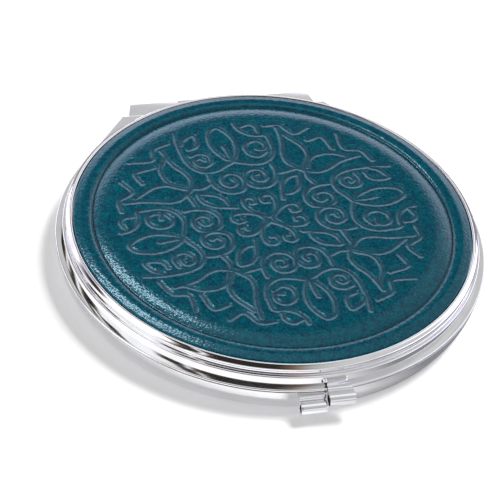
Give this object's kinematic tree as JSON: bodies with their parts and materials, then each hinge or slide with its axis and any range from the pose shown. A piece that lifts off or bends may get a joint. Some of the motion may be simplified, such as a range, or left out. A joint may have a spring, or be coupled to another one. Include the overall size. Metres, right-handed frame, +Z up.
{
  "type": "compact mirror",
  "caption": "Round hinged pocket mirror: pressed chromed case with a padded, embossed leather insert in the lid, rolled finger tabs and a box hinge.",
  "frame": {"origin": "centre of the case's round plan on the flat bottom, where it rests on a table", "axes": "+Z up through the lid, +Y towards the hinge, -Y towards the finger tabs, +X to the right seen from the front"},
  "size_m": [0.07, 0.0746, 0.0097],
  "materials": {
    "chromed_case": "polished",
    "plain_steel": "satin",
    "mirror_glass": "polished",
    "teal_leather": "embossed, satin",
    "foam": "soft matt",
    "board": "pressed board, matt",
    "adhesive": "matt"
  },
  "bodies": {
    "base": {"base_shell": "chromed_case", "base_pad": "foam", "base_mirror": "mirror_glass", "base_mirror_frame": "chromed_case", "base_hinge_leaf": "chromed_case", "hinge_pin": "plain_steel", "base_finger_tab": "chromed_case", "catch_spring": "plain_steel"},
    "lid": {"lid_shell": "chromed_case", "insert_adhesive": "adhesive", "insert_board": "board", "insert_foam": "foam", "leather_cover": "teal_leather", "lid_pad": "foam", "lid_mirror": "mirror_glass", "lid_mirror_frame": "chromed_case", "lid_hinge_leaf": "chromed_case", "lid_finger_tab": "chromed_case", "catch_keeper": "plain_steel"}
  },
  "joints": [
    {"name": "lid_hinge", "type": "hinge", "parent": "base", "child": "lid", "pos_m": [0, 0.03555, 0.0032], "axis": [-1, 0, 0], "range_deg": [0, 140]}
  ]
}
